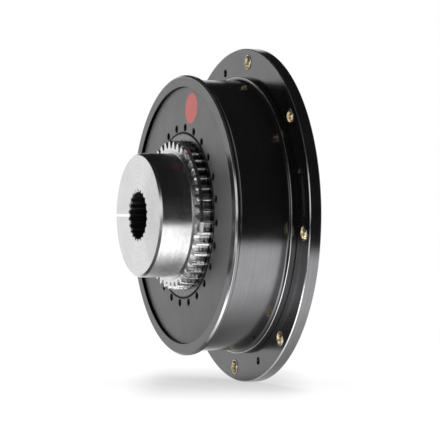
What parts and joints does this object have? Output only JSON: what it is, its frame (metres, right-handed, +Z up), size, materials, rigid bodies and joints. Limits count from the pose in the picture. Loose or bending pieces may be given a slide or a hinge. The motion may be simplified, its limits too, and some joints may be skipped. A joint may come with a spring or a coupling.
{
  "type": "gear coupling",
  "caption": "Flexible flange coupling: a splined clamping gear hub runs in a toothed sleeve held by a rubber disc in a drum on a flywheel flange.",
  "frame": {"origin": "centre of the flywheel bolt circle, on the flange's rear face", "axes": "+X along the shaft axis towards the flywheel, +Z up, the hub points to -X"},
  "size_m": [0.0895, 0.2412, 0.2413],
  "materials": {
    "bright_steel": "turned and ground, bright",
    "dark_screw": "black oxide",
    "sleeve_steel": "dark phosphated steel",
    "rubber": "moulded, matte, one red paint mark",
    "dark_steel": "turned, dark polished oxide",
    "yellow_zinc": "yellow zinc plated"
  },
  "bodies": {
    "housing": {"drum": "dark_steel", "flange_plate": "dark_steel", "rubber_ring": "rubber", "drum_screws": "dark_screw", "flange_bush_1": "yellow_zinc", "flange_bush_2": "yellow_zinc", "flange_bush_3": "yellow_zinc", "flange_bush_4": "yellow_zinc", "flange_bush_5": "yellow_zinc", "flange_bush_6": "yellow_zinc", "flange_bush_7": "yellow_zinc", "flange_bush_8": "yellow_zinc"},
    "sleeve": {"toothed_sleeve": "sleeve_steel"},
    "hub": {"hub": "bright_steel", "clamp_screw": "dark_screw"}
  },
  "joints": [
    {"name": "rubber_twist", "type": "hinge", "parent": "housing", "child": "sleeve", "pos_m": [0, 0, 0], "axis": [1, 0, 0], "range_deg": [-6, 6], "stiffness_Nm_per_rad": 60},
    {"name": "hub_slide", "type": "slide", "parent": "sleeve", "child": "hub", "axis": [-1, 0, 0], "range_m": [-0.004, 0.02]}
  ]
}
